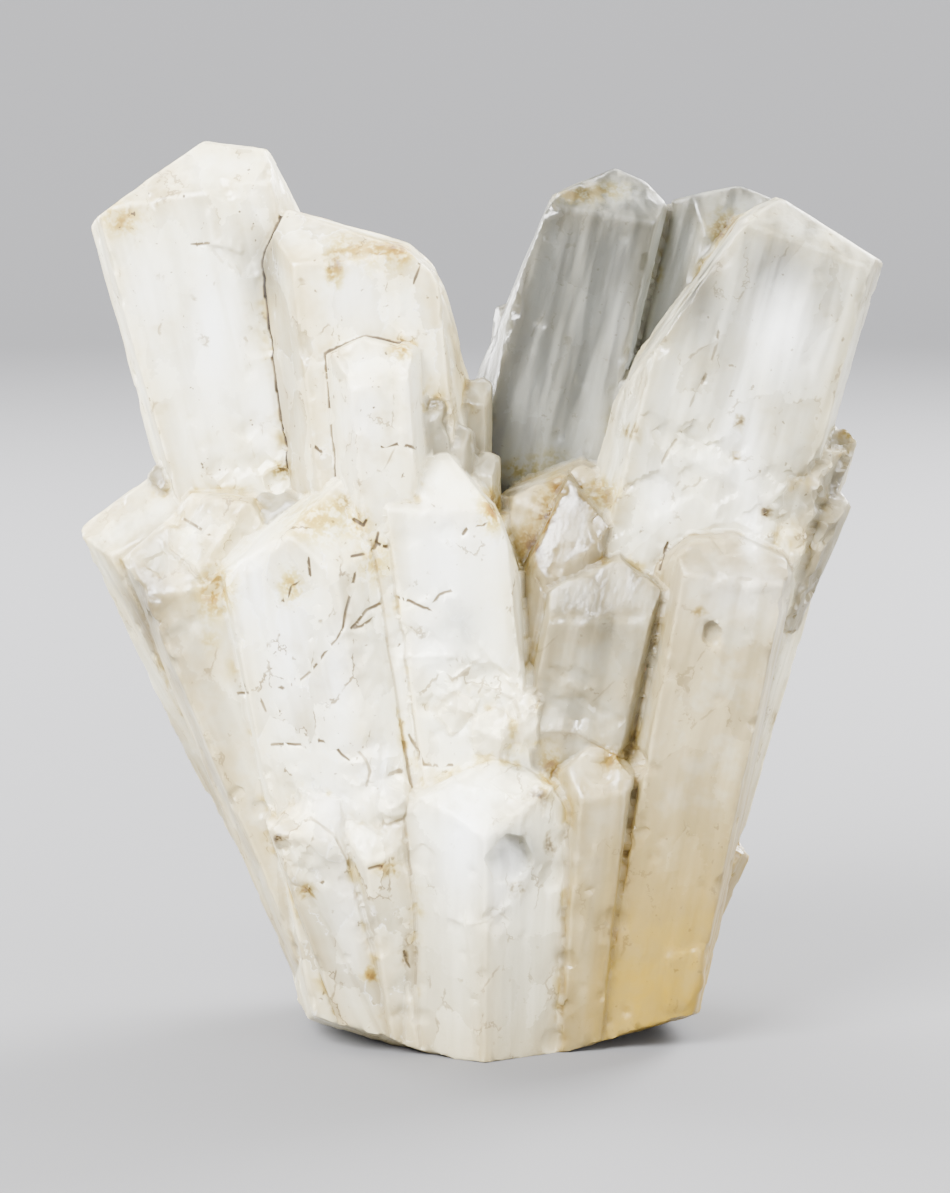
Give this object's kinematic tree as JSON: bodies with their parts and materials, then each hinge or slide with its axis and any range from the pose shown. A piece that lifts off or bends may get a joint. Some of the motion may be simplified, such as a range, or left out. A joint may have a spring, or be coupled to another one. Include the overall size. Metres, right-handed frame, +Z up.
{
  "type": "calcite cluster",
  "caption": "Cluster of stout translucent calcite crystals with low faceted ends, fanned out in two sprays from one root and flat where it rests.",
  "frame": {"origin": "centre of the bounding box, at the flat face that the cluster rests on", "axes": "+Z up along the fan of crystals, +X to the right as the picture shows it, -Y towards the picture's viewer"},
  "size_m": [0.0996, 0.0582, 0.1116],
  "materials": {
    "calcite": "milky, glossy on the crystal faces"
  },
  "bodies": {
    "root": {"calcite_cluster": "calcite"}
  },
  "joints": []
}
